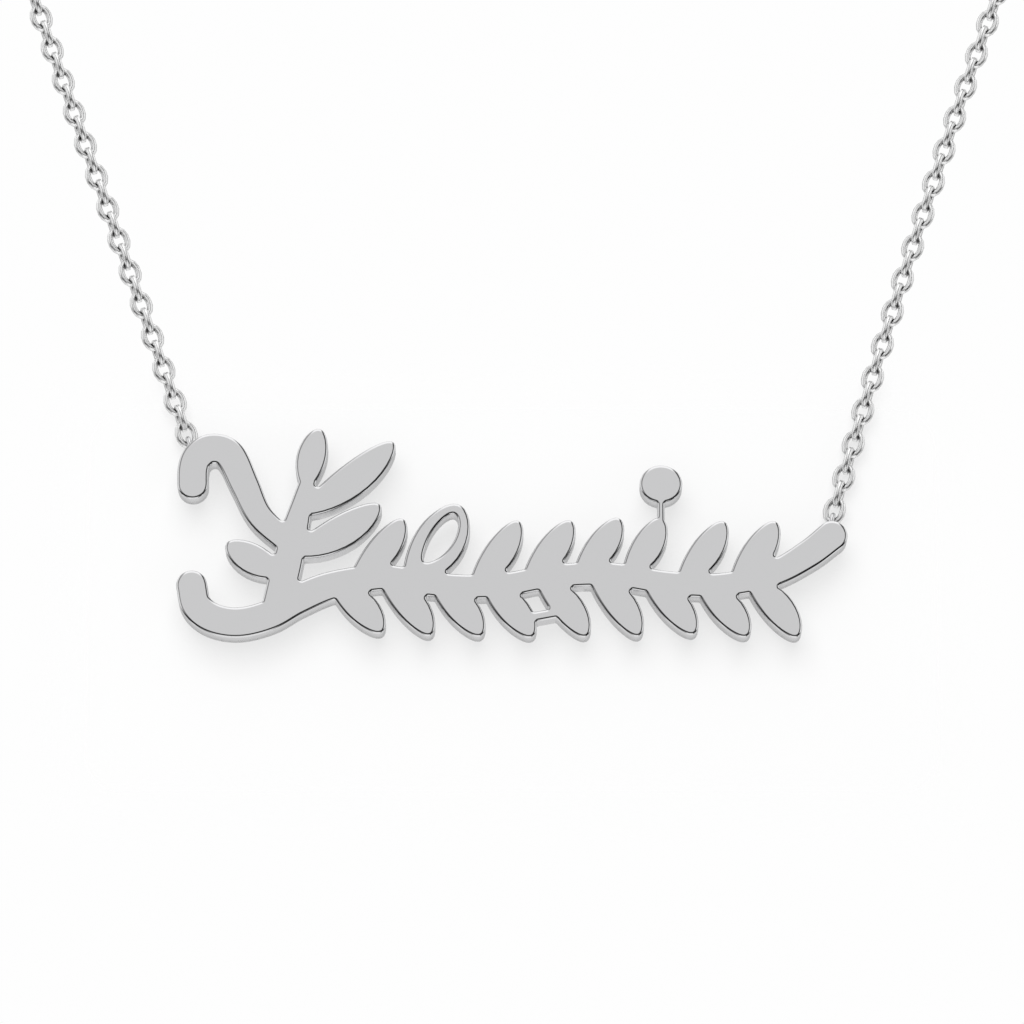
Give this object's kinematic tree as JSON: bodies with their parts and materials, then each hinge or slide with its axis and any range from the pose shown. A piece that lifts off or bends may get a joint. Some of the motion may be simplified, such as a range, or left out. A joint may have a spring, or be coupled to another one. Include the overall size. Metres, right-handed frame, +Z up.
{
  "type": "nameplate necklace",
  "caption": "Polished silver necklace: a cut-out sheet plate with a leafy branch, hung by soldered loops between two strands of fine cable chain with a spring ring clasp behind the neck.",
  "frame": {"origin": "top of the chain loop, where the necklace lies over the back of the neck or hangs from a hook", "axes": "+Z up, against the pull of the hanging plate; +X to the wearer's left, which is the viewer's right; the plate's face looks towards -Y"},
  "size_m": [0.1128, 0.0036, 0.1845],
  "materials": {
    "plate_silver": "mirror polished rhodium-plated silver sheet with laser-cut sides",
    "chain_silver": "polished rhodium-plated silver wire",
    "clasp_silver": "polished rhodium-plated silver"
  },
  "bodies": {
    "root": {"nameplate": "plate_silver", "left_chain": "chain_silver", "right_chain": "chain_silver", "left_back_chain": "chain_silver", "right_back_chain": "chain_silver", "clasp": "clasp_silver", "clasp_ring": "clasp_silver", "end_ring": "clasp_silver"}
  },
  "joints": []
}
